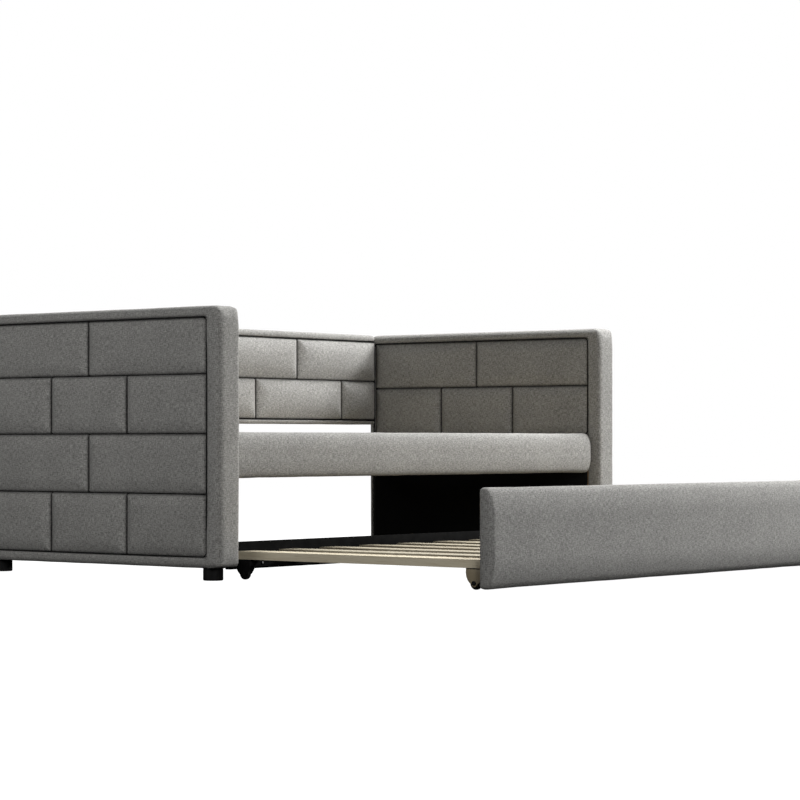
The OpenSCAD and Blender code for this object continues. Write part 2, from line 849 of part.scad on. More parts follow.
// Dished plastic wheel in its fork
module wheel(side, shift) {
    low = wheel_x - wheel_width / 2;
    color(plastic_black) on_side(side) translate(shift) difference() {
        bar_x([low, fork_middle, axle_z], wheel_width, wheel_radius);
        for (x = [low - overrun, low + wheel_width - wheel_dish]) difference() {
            bar_x([x, fork_middle, axle_z], wheel_dish + overrun, wheel_rim);
            bar_x([x - overrun, fork_middle, axle_z], wheel_dish + 3 * overrun, wheel_hub);
        }
        bar_x([low - overrun, fork_middle, axle_z], wheel_width + 2 * overrun, axle_radius + axle_play);
    }
}

arm_frame(left);  // left_arm_frame
arm_face_boards(left);  // left_arm_face_boards
arm_mounting_board(left);  // left_arm_mounting_board
arm_border(left);  // left_arm_border
arm_outer_bricks(left);  // left_arm_outer_bricks
arm_inner_bricks(left);  // left_arm_inner_bricks
arm_lining(left);  // left_arm_lining
arm_frame(right);  // right_arm_frame
arm_face_boards(right);  // right_arm_face_boards
arm_mounting_board(right);  // right_arm_mounting_board
arm_border(right);  // right_arm_border
arm_outer_bricks(right);  // right_arm_outer_bricks
arm_inner_bricks(right);  // right_arm_inner_bricks
arm_lining(right);  // right_arm_lining
back_frame();
back_face_board();
back_border();
back_bricks();
back_rear_panel();
front_rail_core();
front_rail_cover();
rear_rail_core();
rear_rail_cover();
front_ledger();
rear_ledger();
bed_slats();
bed_slat_screws();
ledger_screws();
rail_brackets();
rail_bolts();
bracket_screws();
back_panel_bolts();
feet();
foot_studs();
trundle_front_core();
trundle_front_cover();
trundle_rear_board();
trundle_board(0);  // trundle_left_side_rail
trundle_board(board_count - 1);  // trundle_right_side_rail
trundle_slats();
trundle_front_ledger();
trundle_rear_ledger();
trundle_slat_screws();
trundle_ledger_screws();
caster_plates();
caster_forks();
caster_axles();
wheel(left, [0, 0, 0]);  // front_left_wheel
wheel(right, [0, 0, 0]);  // front_right_wheel
wheel(left, rear_shift);  // rear_left_wheel
wheel(right, rear_shift);  // rear_right_wheel
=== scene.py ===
"""Visual model of the trundle daybed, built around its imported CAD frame. Metres, in the row frame."""

import json
import math

import bmesh
import bpy
import numpy as np
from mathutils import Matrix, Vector, noise

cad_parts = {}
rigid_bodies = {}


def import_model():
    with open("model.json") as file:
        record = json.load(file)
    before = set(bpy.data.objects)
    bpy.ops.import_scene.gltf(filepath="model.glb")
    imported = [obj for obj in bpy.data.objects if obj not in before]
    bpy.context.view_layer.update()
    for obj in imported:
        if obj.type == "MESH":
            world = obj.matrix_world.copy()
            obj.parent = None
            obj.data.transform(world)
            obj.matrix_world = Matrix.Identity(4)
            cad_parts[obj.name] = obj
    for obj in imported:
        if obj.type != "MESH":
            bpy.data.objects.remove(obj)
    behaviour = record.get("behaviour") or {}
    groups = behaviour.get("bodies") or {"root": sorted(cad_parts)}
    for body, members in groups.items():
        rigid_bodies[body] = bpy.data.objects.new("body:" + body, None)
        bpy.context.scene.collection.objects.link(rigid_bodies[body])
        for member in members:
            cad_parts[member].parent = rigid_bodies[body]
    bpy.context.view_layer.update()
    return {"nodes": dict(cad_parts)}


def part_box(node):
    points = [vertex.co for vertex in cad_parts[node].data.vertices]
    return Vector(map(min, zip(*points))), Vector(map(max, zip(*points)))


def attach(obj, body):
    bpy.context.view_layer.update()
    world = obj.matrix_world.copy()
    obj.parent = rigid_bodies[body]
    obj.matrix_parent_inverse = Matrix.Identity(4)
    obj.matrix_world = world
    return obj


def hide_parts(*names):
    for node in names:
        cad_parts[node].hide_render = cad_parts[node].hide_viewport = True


# A new file's cube, camera and lamp go first
for leftover in list(bpy.data.objects):
    bpy.data.objects.remove(leftover)

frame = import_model()
NODES = frame["nodes"]

MM = 0.001
X, Y, Z = 0, 1, 2


# ---------------------------------------------------------------- node graphs


class Graph:
    """A material with short ways to add nodes to it."""

    def __init__(self, name, rough, specular=0.5):
        self.material = bpy.data.materials.new(name)
        self.material.use_nodes = True
        self.tree = self.material.node_tree
        self.shader = self.tree.nodes["Principled BSDF"]
        self.shader.inputs["Roughness"].default_value = rough
        self.shader.inputs["Specular IOR Level"].default_value = specular
        where = self.add("ShaderNodeTexCoord")
        self.place = where.outputs["Object"]
        self.normal = where.outputs["Normal"]

    def add(self, kind, **settings):
        node = self.tree.nodes.new(kind)
        for key, value in settings.items():
            setattr(node, key, value)
        return node

    def feed(self, socket, value):
        if isinstance(value, bpy.types.NodeSocket):
            self.tree.links.new(value, socket)
        else:
            socket.default_value = value

    def math(self, operation, a, b=0.0, c=0.0):
        node = self.add("ShaderNodeMath", operation=operation)
        for socket, value in zip(node.inputs, (a, b, c)):
            self.feed(socket, value)
        return node.outputs[0]

    def split(self, vector):
        node = self.add("ShaderNodeSeparateXYZ")
        self.feed(node.inputs[0], vector)
        return node.outputs

    def join(self, *parts):
        node = self.add("ShaderNodeCombineXYZ")
        for socket, value in zip(node.inputs, parts):
            self.feed(socket, value)
        return node.outputs[0]

    def scaled(self, vector, factors):
        node = self.add("ShaderNodeVectorMath", operation="MULTIPLY")
        self.feed(node.inputs[0], vector)
        self.feed(node.inputs[1], factors)
        return node.outputs[0]

    def noise(self, vector, scale, detail=2.0, roughness=0.5):
        node = self.add("ShaderNodeTexNoise")
        self.feed(node.inputs["Vector"], vector)
        self.feed(node.inputs["Scale"], scale)
        self.feed(node.inputs["Detail"], detail)
        self.feed(node.inputs["Roughness"], roughness)
        return node.outputs[0]

    def ramp(self, value, *stops):
        node = self.add("ShaderNodeValToRGB")
        self.feed(node.inputs[0], value)
        elements = node.color_ramp.elements
        while len(elements) < len(stops):
            elements.new(0.5)
        for element, (place, colour) in zip(elements, stops):
            element.position = place
            element.color = (*colour, 1.0)
        return node.outputs[0]

    def mix(self, factor, a, b, blend="MIX"):
        node = self.add("ShaderNodeMix", data_type="RGBA", blend_type=blend)
        self.feed(node.inputs[0], factor)
        self.feed(node.inputs[6], a if isinstance(a, bpy.types.NodeSocket) else (*a, 1.0))
        self.feed(node.inputs[7], b if isinstance(b, bpy.types.NodeSocket) else (*b, 1.0))
        return node.outputs[2]

    def colour(self, value):
        self.feed(self.shader.inputs["Base Color"], value)

    def bump(self, height, strength, distance):
        node = self.add("ShaderNodeBump")
        node.inputs["Strength"].default_value = strength
        node.inputs["Distance"].default_value = distance
        self.feed(node.inputs["Height"], height)
        self.feed(self.shader.inputs["Normal"], node.outputs[0])


def grey(level, tint=(1.0, 1.0, 1.0)):
    return tuple(level * t for t in tint)


# ---------------------------------------------------------------- materials

YARN = 1.9 * MM                 # pitch of the upholstery's weave
FABRIC_TINT = (1.0, 0.985, 0.94)
FABRIC_LEVEL = 0.30
YARN_DRIFT = 2.2 * MM           # how far the yarns wander
SLUB_LONG = 70.0                # scale of the thick stretches of yarn along the yarn
SLUB_SHORT = 520.0              # and across it
BOND_PITCH = 2.4 * MM           # rows of bonded points in the lining
PLY_WAVE = 3800.0               # glue lines of the plywood, radians per metre
GRAIN = {X: (0.035, 1.0, 1.0), Y: (1.0, 0.035, 1.0), Z: (1.0, 1.0, 0.035)}


def cloth_plane(g):
    """Two coordinates in the plane of the cloth, whichever way a face looks."""
    x, y, z = g.split(g.place)
    nx, ny, nz = (g.math("ABSOLUTE", n) for n in g.split(g.normal))
    side_on = g.math("MULTIPLY", g.math("GREATER_THAN", nx, ny), g.math("GREATER_THAN", nx, nz))
    flat_on = g.math("MULTIPLY", g.math("GREATER_THAN", nz, nx), g.math("GREATER_THAN", nz, ny))
    u = g.math("MULTIPLY_ADD", side_on, g.math("SUBTRACT", y, x), x)
    v = g.math("MULTIPLY_ADD", flat_on, g.math("SUBTRACT", y, z), z)
    return u, v


def plain_weave(g, u, v, pitch):
    """Height of a plain weave, from 0 between the yarns to 1 on top of one."""
    a = g.math("SINE", g.math("MULTIPLY", u, math.pi / pitch))
    b = g.math("SINE", g.math("MULTIPLY", v, math.pi / pitch))
    over = g.math("GREATER_THAN", g.math("MULTIPLY", a, b), 0.0)
    a = g.math("ABSOLUTE", a)
    b = g.math("ABSOLUTE", b)
    across = g.math("MULTIPLY", a, g.math("MULTIPLY_ADD", b, 0.5, 0.5))
    along = g.math("MULTIPLY", b, g.math("MULTIPLY_ADD", a, 0.5, 0.5))
    return g.math("MULTIPLY_ADD", over, g.math("SUBTRACT", across, along), along)


def fabric_material():
    """Woven heather upholstery: mixed yarns, slubs both ways, soft nap, with painted shade between the
    yarns and in the seams.
    """
    g = Graph("heather_fabric", rough=0.92, specular=0.18)
    g.shader.inputs["Sheen Weight"].default_value = 0.22
    g.shader.inputs["Sheen Roughness"].default_value = 0.45
    g.shader.inputs["Sheen Tint"].default_value = (1.0, 0.99, 0.97, 1.0)
    u, v = cloth_plane(g)
    drift = g.math("MULTIPLY_ADD", g.noise(g.place, 38.0), YARN_DRIFT, -YARN_DRIFT / 2)
    u = g.math("ADD", u, drift)
    v = g.math("SUBTRACT", v, drift)
    weave = plain_weave(g, u, v, YARN)
    blotch = g.noise(g.place, 300.0, detail=3.0, roughness=0.7)
    long_u, short_u = g.math("MULTIPLY", u, SLUB_LONG), g.math("MULTIPLY", u, SLUB_SHORT)
    long_v, short_v = g.math("MULTIPLY", v, SLUB_LONG), g.math("MULTIPLY", v, SLUB_SHORT)
    slub_across = g.noise(g.join(long_u, short_v, 0.0), 1.0)
    slub_up = g.noise(g.join(short_u, long_v, 7.0), 1.0)
    broad = g.noise(g.place, 9.0, detail=3.0)
    tone = g.math("MULTIPLY_ADD", g.math("SUBTRACT", blotch, 0.5), 1.3, 0.5)
    for extra, weight in ((slub_across, 1.25), (slub_up, 1.25), (broad, 0.22)):
        tone = g.math("MULTIPLY_ADD", g.math("SUBTRACT", extra, 0.5), weight, tone)
    colour = g.ramp(
        tone,
        (0.0, grey(FABRIC_LEVEL * 0.42, FABRIC_TINT)),
        (0.5, grey(FABRIC_LEVEL, FABRIC_TINT)),
        (1.0, grey(FABRIC_LEVEL * 1.75, FABRIC_TINT)),
    )
    # Darker between the yarns: painted shade of the weave.
    shade = g.math("MULTIPLY_ADD", weave, 0.30, 0.80)
    # Darker towards the seams, by the seam attribute: painted seam shade, standing in for the shadow in
    # the grooves.
    seam = g.add("ShaderNodeAttribute", attribute_name="seam").outputs["Fac"]
    painted_seam_shade = g.math("MULTIPLY", g.math("POWER", seam, 1.6), 0.8)
    shade = g.math("MULTIPLY", shade, g.math("SUBTRACT", 1.0, painted_seam_shade))
    g.colour(g.mix(1.0, colour, g.join(shade, shade, shade), "MULTIPLY"))
    height = g.math("MULTIPLY_ADD", blotch, 0.8, weave)
    g.bump(height, 0.55, 0.5 * MM)
    return g.material


def seam_shadow_material():
    """Near-black cloth for the sheet and the tube at the bottom of the seams: painted seam shadow, dark
    things put where the seams are in shade.
    """
    g = Graph("seam_shadow_cord", rough=0.9, specular=0.2)
    twist = g.noise(g.scaled(g.place, (600.0, 600.0, 600.0)), 1.0)
    # Near-black: painted shadow of the seams.
    g.colour(g.ramp(twist, (0.3, grey(0.006)), (0.7, grey(0.014))))
    g.bump(twist, 0.4, 0.3 * MM)
    return g.material


def wood_material(name, pale, dark, along, rough=0.6, contrast=1.0):
    """Planed wood with growth rings, fibres and a tone of its own for each board."""
    g = Graph(name, rough=rough, specular=0.3)
    stretched = g.scaled(g.place, GRAIN[along])
    bend = g.noise(g.scaled(g.place, (3.0, 3.0, 3.0)), 1.0, detail=1.0)
    rings = g.add("ShaderNodeTexNoise")
    g.feed(rings.inputs["Vector"], stretched)
    g.feed(rings.inputs["Scale"], 26.0)
    g.feed(rings.inputs["Detail"], 2.0)
    g.feed(rings.inputs["Distortion"], 1.2)
    bands = g.math("FRACT", g.math("MULTIPLY_ADD", rings.outputs[0], 7.0, g.math("MULTIPLY", bend, 2.0)))
    late = g.math("POWER", bands, 3.0)
    fibre = g.noise(stretched, 950.0, detail=2.0, roughness=0.6)
    board = g.noise(g.scaled(stretched, (7.0, 7.0, 7.0)), 1.0, detail=0.0)
    tone = g.math("MULTIPLY", late, 0.42 * contrast)
    tone = g.math("MULTIPLY_ADD", g.math("SUBTRACT", fibre, 0.5), 0.55 * contrast, tone)
    tone = g.math("MULTIPLY_ADD", g.math("SUBTRACT", board, 0.5), 0.7, tone)
    tone = g.math("ADD", tone, 0.22)
    g.colour(g.ramp(tone, (0.0, pale), (1.0, dark)))
    g.bump(g.math("MULTIPLY_ADD", late, 0.5, fibre), 0.25, 0.25 * MM)
    return g.material


def plywood_material():
    """Sanded plywood: faint broad grain on the faces and dark glue lines on the edges."""
    g = Graph("plywood_sheet", rough=0.65, specular=0.3)
    grain = g.noise(g.scaled(g.place, (1.0, 1.0, 0.06)), 160.0, detail=3.0)
    x = g.split(g.place)[0]
    ply = g.math("GREATER_THAN", g.math("SINE", g.math("MULTIPLY", x, PLY_WAVE)), 0.2)
    nx = g.math("ABSOLUTE", g.split(g.normal)[0])
    edge = g.math("MULTIPLY", g.math("LESS_THAN", nx, 0.5), ply)
    tone = g.math("MULTIPLY_ADD", edge, 0.4, g.math("MULTIPLY", grain, 0.8))
    g.colour(g.ramp(tone, (0.2, (0.52, 0.37, 0.21)), (0.9, (0.25, 0.15, 0.075))))
    g.bump(grain, 0.2, 0.2 * MM)
    return g.material


def steel_material():
    """Zinc-plated steel, a little mottled."""
    level, rough = 0.55, 0.38
    g = Graph("zinc_plate", rough=rough)
    g.shader.inputs["Metallic"].default_value = 1.0
    spangle = g.noise(g.place, 220.0, detail=3.0)
    g.colour(g.ramp(spangle, (0.3, grey(level * 0.8)), (0.7, grey(level * 1.15, (1.0, 1.0, 1.03)))))
    g.feed(g.shader.inputs["Roughness"], g.math("MULTIPLY_ADD", spangle, 0.3, rough - 0.15))
    g.bump(g.noise(g.place, 900.0), 0.12, 0.1 * MM)
    return g.material


def plastic_material(name, level=0.007, rough=0.55):
    """Moulded black plastic with a fine spark-eroded grain and dusty scuffs."""
    g = Graph(name, rough=rough, specular=0.15)
    grain = g.noise(g.place, 1600.0, detail=1.0)
    scuff = g.noise(g.place, 60.0, detail=4.0, roughness=0.7)
    g.colour(g.ramp(scuff, (0.35, grey(level)), (0.62, grey(level * 1.5)), (0.8, grey(level * 3.0))))
    g.feed(g.shader.inputs["Roughness"], g.math("MULTIPLY_ADD", scuff, 0.25, rough - 0.1))
    g.bump(grain, 0.25, 0.15 * MM)
    return g.material


def lining_material():
    """Black non-woven lining with its rows of bonded points."""
    g = Graph("lining_felt", rough=0.95, specular=0.1)
    u, v = cloth_plane(g)
    a = g.math("SINE", g.math("MULTIPLY", g.math("ADD", u, v), math.pi / BOND_PITCH))
    b = g.math("SINE", g.math("MULTIPLY", g.math("SUBTRACT", u, v), math.pi / BOND_PITCH))
    dots = g.math("GREATER_THAN", g.math("MULTIPLY", g.math("ABSOLUTE", a), g.math("ABSOLUTE", b)), 0.7)
    fibre = g.noise(g.place, 420.0, detail=4.0, roughness=0.75)
    tone = g.math("MULTIPLY_ADD", dots, 0.25, fibre)
    g.colour(g.ramp(tone, (0.3, grey(0.004)), (0.9, grey(0.011))))
    g.bump(g.math("MULTIPLY_ADD", dots, -0.6, fibre), 0.5, 0.3 * MM)
    return g.material


def laminate_material():
    """Black melamine board with a faint pressed grain and a little dust."""
    g = Graph("black_laminate", rough=0.8, specular=0.05)
    grain = g.noise(g.scaled(g.place, (0.04, 1.0, 1.0)), 800.0, detail=2.0)
    dust = g.noise(g.place, 22.0, detail=4.0, roughness=0.65)
    g.colour(g.ramp(dust, (0.4, grey(0.004)), (0.75, grey(0.009))))
    g.bump(grain, 0.3, 0.2 * MM)
    return g.material


# The slats and the side rails are one birch in two copies: the slats' colours are painted darker
# (painted shade) and the side rails' paler (painted light), each set to match how bright it looked under
# its light.
SLAT_PALE, SLAT_DARK = (0.47, 0.425, 0.325), (0.34, 0.285, 0.195)
RAIL_PALE, RAIL_DARK = (0.72, 0.65, 0.495), (0.50, 0.415, 0.28)
PINE_PALE, PINE_DARK = (0.46, 0.375, 0.25), (0.33, 0.24, 0.14)
FORK_PALE, FORK_DARK = (0.40, 0.335, 0.225), (0.30, 0.24, 0.155)

FABRIC = fabric_material()
SEAM_SHADOW_BLACK = seam_shadow_material()
LINING = lining_material()
# Shaded copy of the birch, also used for the ledger.
SLAT_WOOD = wood_material("slat_birch_y", SLAT_PALE, SLAT_DARK, Y)
# Lit copy of the birch: painted light on the rails' shaded sides.
RAIL_WOOD = wood_material("rail_birch_y", RAIL_PALE, RAIL_DARK, Y)
LEDGER_WOOD = wood_material("ledger_birch_x", SLAT_PALE, SLAT_DARK, X)
PINE_X = wood_material("frame_pine_x", PINE_PALE, PINE_DARK, X, 0.7, 1.4)
PINE_Z = wood_material("frame_pine_z", PINE_PALE, PINE_DARK, Z, 0.7, 1.4)
FORK = wood_material("fork_beige", FORK_PALE, FORK_DARK, Z, 0.5, 0.5)
PLY = plywood_material()
ZINC = steel_material()
PLASTIC = plastic_material("black_moulding")
TYRE = plastic_material("black_tyre", 0.010, 0.62)
LAMINATE = laminate_material()


# ---------------------------------------------------------------- mesh helpers

EASE_ANGLE = math.radians(35)   # edges sharper than this are eased
SHARP_ANGLE = math.radians(40)  # and edges of turned pieces sharper than this stay crisp


def new_object(name, mesh, material):
    obj = bpy.data.objects.new(name, mesh)
    bpy.context.scene.collection.objects.link(obj)
    mesh.materials.clear()
    mesh.materials.append(material)
    return obj


def smooth_shaded(mesh):
    mesh.polygons.foreach_set("use_smooth", [True] * len(mesh.polygons))


def settled(obj):
    """Replaces obj's mesh by what its modifiers make of it."""
    material = obj.data.materials[0]
    graph = bpy.context.evaluated_depsgraph_get()
    mesh = bpy.data.meshes.new_from_object(obj.evaluated_get(graph))
    obj.modifiers.clear()
    obj.data = mesh
    mesh.materials.clear()
    mesh.materials.append(material)
    smooth_shaded(mesh)


def points(mesh):
    flat = np.empty(len(mesh.vertices) * 3)
    mesh.vertices.foreach_get("co", flat)
    return flat.reshape(-1, 3)


def set_points(mesh, co):
    mesh.vertices.foreach_set("co", np.asarray(co, float).ravel())
    mesh.update()


def grid_faces(m, n):
    """Faces of a grid of m rows of n points."""
    return [
        (i * n + j, i * n + j + 1, (i + 1) * n + j + 1, (i + 1) * n + j)
        for i in range(m - 1)
        for j in range(n - 1)
    ]


def outward_mesh(name, verts, faces):
    """A mesh whose faces all look outwards."""
    mesh = bpy.data.meshes.new(name)
    mesh.from_pydata(verts, [], faces)
    shape = bmesh.new()
    shape.from_mesh(mesh)
    bmesh.ops.recalc_face_normals(shape, faces=shape.faces)
    shape.to_mesh(mesh)
    shape.free()
    return mesh


def corners_of(node):
    """Low and high corner of a CAD node."""
    return (np.array(corner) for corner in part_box(node))


def across(axis):
    """The level axis along a padded face that looks along the given axis."""
    return Y if axis == X else X


def fall(t, exponent):
    """From 1 at the edge, t = 0, down to 0 at t = 1, along a rounded curve."""
    return 1 - (1 - (1 - t) ** exponent) ** (1 / exponent)


def welded(node):
    """A bmesh of a CAD node, with the corners that the import split joined again."""
    shape = bmesh.new()
    shape.from_mesh(NODES[node].data)
    bmesh.ops.remove_doubles(shape, verts=shape.verts, dist=1e-6)
    return shape


def solids(node):
    """(low, high) corners of each separate solid of a CAD node."""
    shape = welded(node)
    shape.verts.ensure_lookup_table()
    seen = set()
    found = []
    for first in shape.verts:
        if first.index in seen:
            continue
        seen.add(first.index)
        stack = [first]
        group = []
        while stack:
            vert = stack.pop()
            group.append(vert.co[:])
            for edge in vert.link_edges:
                other = edge.other_vert(vert)
                if other.index not in seen:
                    seen.add(other.index)
                    stack.append(other)
        group = np.array(group)
        found.append((group.min(0), group.max(0)))
    shape.free()
    return found


def eased(node, material, width, body, segments=2, part="piece", wanted=None):
    """A copy of a CAD node, or of the wanted points of it, with its sharp edges eased."""
    shape = welded(node)
    if wanted is not None:
        bmesh.ops.delete(shape, geom=[v for v in shape.verts if not wanted(v.co)], context="VERTS")
    bmesh.ops.dissolve_limit(shape, angle_limit=0.01, verts=shape.verts, edges=shape.edges)
    mesh = bpy.data.meshes.new(node + "_eased")
    shape.to_mesh(mesh)
    shape.free()
    smooth_shaded(mesh)
    obj = new_object(f"{node}_{part}", mesh, material)
    bevel = obj.modifiers.new("ease", "BEVEL")
    bevel.width = width
    bevel.segments = segments
    bevel.limit_method = "ANGLE"
    bevel.angle_limit = EASE_ANGLE
    bevel.harden_normals = True
    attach(obj, body)
    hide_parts(node)


def uneven(mesh, amount, size, seed):
    """Moves points along their normals by up to amount, by a soft seeded noise of this size."""
    normals = np.empty(len(mesh.vertices) * 3)
    mesh.vertex_normals.foreach_get("vector", normals)
    normals = normals.reshape(-1, 3)
    co = points(mesh)
    shift = Vector((seed * 3.1, seed * 1.7, seed * 2.3))
    lift = np.array([noise.noise(Vector(p) / size + shift) for p in co])
    set_points(mesh, co + normals * lift[:, None] * amount)


# ---------------------------------------------------------------- padded pieces

SIM_FRAMES = 20
CLOTH_QUALITY = 5
CLOTH_MASS = 0.3
CLOTH_BENDING = 0.6
SHEAR_SHARE = 0.4               # of the cloth's stretch stiffness

BRICK_PRESSURE, BRICK_CAP, BRICK_STIFFNESS = 3.0, 3.0 * MM, 12
COVER_PRESSURE, COVER_CAP, COVER_STIFFNESS = 4.0, 2.0 * MM, 25

# Bricks
EDGE_ROWS = (0.0, 0.8, 2.8, 6.0, 10.5, 16.5)    # grid rows beside the edge, mm
GRID_STEP = 11 * MM             # and between them
SEAM_GROW = 0.3 * MM            # how far a brick reaches into its seams
PINNED_EDGE = 1.2 * MM          # what is held at the edge while a brick swells
SEAM_SHADE = 7 * MM             # how far the shade of a seam reaches
BRICK_CORNER = 7 * MM
BRICK_CROWN = 5 * MM
BRICK_DROP = 18 * MM            # from the shoulder down into the seam
BRICK_BASE = 2.5 * MM           # least thickness under a seam
BRICK_EDGE, BRICK_CURVE = 26 * MM, 2.2          # width and exponent of the rounded edge
BACK_EDGE, BACK_CURVE = 56 * MM, 1.75           # and of the fuller one on the back panel
BACK_SWELL = 17 * MM            # the back panel's bricks stand out this much more
BRICK_UNEVEN = (0.5 * MM, 70 * MM)              # height and size

# Near-black sheet and tube at the bottom of the seams: painted seam shadow
SHADE_SHEET_GRID = (60, 24)
SHADE_SHEET_SPARE = 8 * MM          # under the border
SHADE_SHEET_THICK = 0.8 * MM
SHADE_SHEET_UNDER = 2.5 * MM        # under the bottom of the seams
SHADE_SHEET_LEAST = 0.7 * MM        # over the board
SHADE_TUBE_RADIUS = 2.1 * MM
SHADE_TUBE_SINK = 4.5 * MM
SHADE_TUBE_STEP = 12 * MM
SHADE_TUBE_SIDES = 8

# Covers and linings
COVER_SHRINK = 1.2 * MM
COVER_UNEVEN = (0.6 * MM, 90 * MM)
TUCK_WIDTH = 14 * MM
TUCK_DEPTH = 9 * MM
TUCK_CURVE = 2.3
TUCK_RAISE = 2 * MM
TUCK_REACH = 30 * MM            # points deeper than this stay
ARM_RADIUS = 30 * MM            # outer front edge of an arm
LINING_GRID = (80, 30)
LINING_CALM = 6                 # rows from the stapled edge to full waves
LINING_THICK = 0.6 * MM

puffs = []


def plan_puff(obj, pressure, cap, stiffness, pinned=None):
    """Gives obj a Cloth that swells it; run_puffs() steps all of them together."""
    cloth = obj.modifiers.new("swell", "CLOTH")
    settings = cloth.settings
    settings.quality = CLOTH_QUALITY
    settings.mass = CLOTH_MASS
    settings.tension_stiffness = stiffness
    settings.compression_stiffness = stiffness
    settings.shear_stiffness = stiffness * SHEAR_SHARE
    settings.bending_stiffness = CLOTH_BENDING
    settings.use_pressure = True
    settings.uniform_pressure_force = pressure
    settings.effector_weights.gravity = 0
    if pinned is not None:
        group = obj.vertex_groups.new(name="held")
        group.add([int(i) for i in pinned], 1.0, "REPLACE")
        settings.vertex_group_mass = "held"
    cloth.collision_settings.use_collision = False
    cloth.point_cache.frame_start = 1
    cloth.point_cache.frame_end = SIM_FRAMES
    puffs.append((obj, cap))


def run_puffs():
    """Steps every planned Cloth, caps how far its points moved, and applies it."""
    scene = bpy.context.scene
    for step in range(1, SIM_FRAMES + 1):
        scene.frame_set(step)
    graph = bpy.context.evaluated_depsgraph_get()
    swollen = [points(obj.evaluated_get(graph).data) for obj, cap in puffs]
    for (obj, cap), after in zip(puffs, swollen):
        before = points(obj.data)
        move = after - before
        far = np.linalg.norm(move, axis=1)
        keep = cap * np.tanh(far / cap) / np.maximum(far, 1e-9)
        obj.modifiers.clear()
        set_points(obj.data, before + move * keep[:, None])
    scene.frame_set(1)


def rows(half):
    """Grid places from -half to half, close together near both ends."""
    edge = [r * MM for r in EDGE_ROWS]
    inner = half - edge[-1]
    count = max(2, round(2 * inner / GRID_STEP))
    middle = [-inner + 2 * inner * i / count for i in range(1, count)]
    return [-half + e for e in edge] + middle + [half - e for e in reversed(edge)]


def round_corner(a, b, half_a, half_b):
    """Moves a grid point near a corner onto rings round that corner; also its distance to the edge."""
    out_a = abs(a) - (half_a - BRICK_CORNER)
    out_b = abs(b) - (half_b - BRICK_CORNER)
    if out_a > 0 and out_b > 0:
        ring = max(out_a, out_b)
        length = math.hypot(out_a, out_b)
        out_a, out_b = out_a / length * ring, out_b / length * ring
        a = math.copysign(half_a - BRICK_CORNER + out_a, a)
        b = math.copysign(half_b - BRICK_CORNER + out_b, b)
        return a, b, BRICK_CORNER - ring
    return a, b, min(half_a - abs(a), half_b - abs(b))


def shoulder(thick):
    """Crown of a brick of this thickness, and the drop from its shoulder into the seam."""
    rise = min(BRICK_CROWN, 0.3 * thick)
    return rise, min(BRICK_DROP, thick - rise - BRICK_BASE)


def brick_height(a, b, edge, half_a, half_b, thick, width, curve):
    """Height of a brick's face over its board."""
    rise, deepest = shoulder(thick)
    crown = rise * (1 - (a / half_a) ** 2) * (1 - (b / half_b) ** 2)
    t = min(max(edge, 0.0) / width, 1.0)
    return thick - rise + crown - deepest * fall(t, curve)


def brick_mesh(name, low, high, axis, sign, swell):
    """A closed crowned pad on the board behind it. Returns the mesh and the points that stay put."""
    flat = across(axis)
    centre = (low + high) / 2
    half_a = (high[flat] - low[flat]) / 2 + SEAM_GROW
    half_b = (high[Z] - low[Z]) / 2 + SEAM_GROW
    thick = high[axis] - low[axis] + swell
    base = low[axis] if sign > 0 else high[axis]
    width, curve = (BACK_EDGE, BACK_CURVE) if swell else (BRICK_EDGE, BRICK_CURVE)
    rows_a = rows(half_a)
    rows_b = rows(half_b)
    verts, seam, pinned = [], [], []

    def place(a, b, h):
        co = [0.0, 0.0, centre[Z] + b]
        co[flat] = centre[flat] + a
        co[axis] = base + sign * h
        verts.append(co)

    for a0 in rows_a:
        for b0 in rows_b:
            a, b, edge = round_corner(a0, b0, half_a, half_b)
            place(a, b, brick_height(a, b, edge, half_a, half_b, thick, width, curve))
            # Painted seam shade: full at the edge, fading out within SEAM_SHADE.
            seam.append(max(0.0, 1 - edge / SEAM_SHADE))
            if edge < PINNED_EDGE:
                pinned.append(len(verts) - 1)
    m, n = len(rows_a), len(rows_b)
    faces = grid_faces(m, n)
    rim = [j for j in range(n)] + [i * n + n - 1 for i in range(1, m)]
    rim += [(m - 1) * n + j for j in range(n - 2, -1, -1)] + [i * n for i in range(m - 2, 0, -1)]
    back = []
    for k in rim:
        co = list(verts[k])
        co[axis] = base
        verts.append(co)
        # The back ring is fully in painted seam shade.
        seam.append(1.0)
        back.append(len(verts) - 1)
        pinned.append(len(verts) - 1)
    for i in range(len(rim)):
        j = (i + 1) % len(rim)
        faces.append((rim[j], rim[i], back[i], back[j]))
    near, far = back[:n], back[m + n - 2:m + 2 * n - 2]
    above = back[n - 1:m + n - 1]
    below = [back[0]] + back[:m + 2 * n - 4:-1]
    faces.append(tuple(near) + (above[1], below[1]))
    faces.append(tuple(far) + (below[-2], above[-2]))
    for i in range(1, m - 2):
        faces.append((below[i], above[i], above[i + 1], below[i + 1]))
    mesh = outward_mesh(name, verts, faces)
    # The seam attribute carries the painted seam shade to the fabric.
    shades = mesh.attributes.new("seam", "FLOAT", "POINT")
    shades.data.foreach_set("value", seam)
    return mesh, pinned


